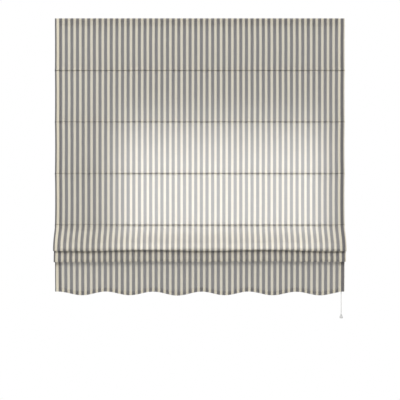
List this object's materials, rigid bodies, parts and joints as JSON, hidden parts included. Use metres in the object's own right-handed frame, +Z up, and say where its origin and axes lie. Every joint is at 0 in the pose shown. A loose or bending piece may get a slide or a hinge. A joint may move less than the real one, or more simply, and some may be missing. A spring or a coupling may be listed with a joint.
{
  "type": "roman blind",
  "caption": "Roman window blind of striped cloth with a scalloped hem, partly drawn up in soft folds, on a slim headrail with wall brackets, lift cords and a bell pull.",
  "frame": {"origin": "middle of the four bracket screw holes, on the wall plane", "axes": "+X along the headrail to the pull cord's side, +Y into the wall, +Z up; the cloth faces -Y"},
  "size_m": [1.303, 0.0794, 1.348],
  "materials": {
    "rail": "satin",
    "trim_plastic": "satin",
    "tape": "matte",
    "bracket_steel": "satin",
    "pin_steel": "satin",
    "latch_plastic": "satin",
    "gear_plastic": "satin",
    "pawl_brass": "satin",
    "cloth": "matte",
    "bar_metal": "satin",
    "rod": "satin",
    "ring_plastic": "gloss",
    "cord": "matte",
    "bell_plastic": "gloss"
  },
  "bodies": {
    "head": {"headrail": "rail", "rail_cap_left": "trim_plastic", "rail_cap_right": "trim_plastic", "hook_tape": "tape", "loop_tape": "tape", "bracket_left": "bracket_steel", "bracket_right": "bracket_steel", "bracket_rivets": "pin_steel", "guide_body_1": "gear_plastic", "guide_body_2": "gear_plastic", "guide_body_3": "gear_plastic", "guide_body_4": "gear_plastic", "guide_pins": "pin_steel", "lock_body": "gear_plastic", "lock_pins": "pin_steel", "fabric": "cloth", "lift_cord_1": "cord", "lift_cord_2": "cord", "lift_cord_3": "cord", "lift_cord_4": "cord"},
    "latch_left": {"latch_left": "latch_plastic"},
    "latch_right": {"latch_right": "latch_plastic"},
    "lock_roller": {"lock_roller": "gear_plastic"},
    "lock_pawl": {"lock_pawl": "pawl_brass"},
    "toggle": {"cord_toggle": "ring_plastic"},
    "pull": {"condenser_cap": "ring_plastic", "condenser_body": "ring_plastic", "pull_cord": "cord", "pull_knot": "cord", "pull_bell": "bell_plastic", "pull_plug": "bell_plastic"},
    "bar": {"bottom_bar": "bar_metal", "bar_caps": "trim_plastic", "bar_rings": "ring_plastic", "cord_anchors": "ring_plastic"},
    "guide_roller_1": {"guide_roller_1": "gear_plastic"},
    "guide_roller_2": {"guide_roller_2": "gear_plastic"},
    "guide_roller_3": {"guide_roller_3": "gear_plastic"},
    "guide_roller_4": {"guide_roller_4": "gear_plastic"},
    "rod_1": {"rod_1": "rod", "rod_caps_1": "trim_plastic", "rings_1": "ring_plastic"},
    "rod_2": {"rod_2": "rod", "rod_caps_2": "trim_plastic", "rings_2": "ring_plastic"},
    "rod_3": {"rod_3": "rod", "rod_caps_3": "trim_plastic", "rings_3": "ring_plastic"},
    "rod_4": {"rod_4": "rod", "rod_caps_4": "trim_plastic", "rings_4": "ring_plastic"},
    "rod_5": {"rod_5": "rod", "rod_caps_5": "trim_plastic", "rings_5": "ring_plastic"}
  },
  "joints": [
    {"name": "lift", "type": "slide", "parent": "head", "child": "rod_1", "axis": [0, 0, 1], "range_m": [0, 0.168], "deforming": ["fabric", "lift_cord_1", "lift_cord_2", "lift_cord_3", "lift_cord_4"]},
    {"name": "rod_2_lift", "type": "slide", "parent": "rod_1", "child": "rod_2", "axis": [0, 0, 1], "range_m": [0, 0.2]},
    {"name": "rod_3_lift", "type": "slide", "parent": "rod_2", "child": "rod_3", "axis": [0, 0, 1], "range_m": [0, 0.2]},
    {"name": "rod_4_lift", "type": "slide", "parent": "rod_3", "child": "rod_4", "axis": [0, 0, 1], "range_m": [0, 0.12]},
    {"name": "lower", "type": "slide", "parent": "rod_4", "child": "rod_5", "axis": [0, 0, -1], "range_m": [0, 0.2]},
    {"name": "bar_lower", "type": "slide", "parent": "rod_5", "child": "bar", "axis": [0, 0, -1], "range_m": [0, 0.2]},
    {"name": "toggle_drop", "type": "slide", "parent": "head", "child": "toggle", "axis": [0, 0, -1], "range_m": [0, 0.69]},
    {"name": "pull_rise", "type": "slide", "parent": "toggle", "child": "pull", "axis": [0, 0, 1], "range_m": [0, 0.4]},
    {"name": "pawl_release", "type": "hinge", "parent": "head", "child": "lock_pawl", "pos_m": [0.62582, -0.023, -0.0124], "axis": [0, 1, 0], "range_deg": [0, 30]},
    {"name": "latch_left_turn", "type": "hinge", "parent": "head", "child": "latch_left", "pos_m": [-0.43, -0.023, 0.02], "axis": [0, 0, 1], "range_deg": [0, 90]},
    {"name": "latch_right_turn", "type": "hinge", "parent": "head", "child": "latch_right", "pos_m": [0.43, -0.023, 0.02], "axis": [0, 0, 1], "range_deg": [0, 90]},
    {"name": "lock_roller_spin", "type": "hinge", "parent": "head", "child": "lock_roller", "pos_m": [0.63165, -0.023, 0.0016], "axis": [0, 1, 0], "continuous": true},
    {"name": "guide_roller_1_spin", "type": "hinge", "parent": "head", "child": "guide_roller_1", "pos_m": [-0.53365, -0.023, 0.0016], "axis": [0, 1, 0], "continuous": true},
    {"name": "guide_roller_2_spin", "type": "hinge", "parent": "head", "child": "guide_roller_2", "pos_m": [-0.17365, -0.023, 0.0016], "axis": [0, 1, 0], "continuous": true},
    {"name": "guide_roller_3_spin", "type": "hinge", "parent": "head", "child": "guide_roller_3", "pos_m": [0.18635, -0.023, 0.0016], "axis": [0, 1, 0], "continuous": true},
    {"name": "guide_roller_4_spin", "type": "hinge", "parent": "head", "child": "guide_roller_4", "pos_m": [0.54635, -0.023, 0.0016], "axis": [0, 1, 0], "continuous": true}
  ],
  "couplings": [
    {"joint": "rod_2_lift", "follows": "lift", "ratio": 1.19},
    {"joint": "rod_3_lift", "follows": "lift", "ratio": 1.19},
    {"joint": "rod_4_lift", "follows": "lift", "ratio": 0.7},
    {"joint": "toggle_drop", "follows": "lift", "ratio": 4.08},
    {"joint": "bar_lower", "follows": "lower", "ratio": 1},
    {"joint": "pull_rise", "follows": "lower", "ratio": 2},
    {"joint": "lock_roller_spin", "follows": "lift", "rad_per_m": 642.5},
    {"joint": "guide_roller_1_spin", "follows": "lift", "rad_per_m": 642.5},
    {"joint": "guide_roller_2_spin", "follows": "lift", "rad_per_m": 642.5},
    {"joint": "guide_roller_3_spin", "follows": "lift", "rad_per_m": 642.5},
    {"joint": "guide_roller_4_spin", "follows": "lift", "rad_per_m": 642.5}
  ]
}
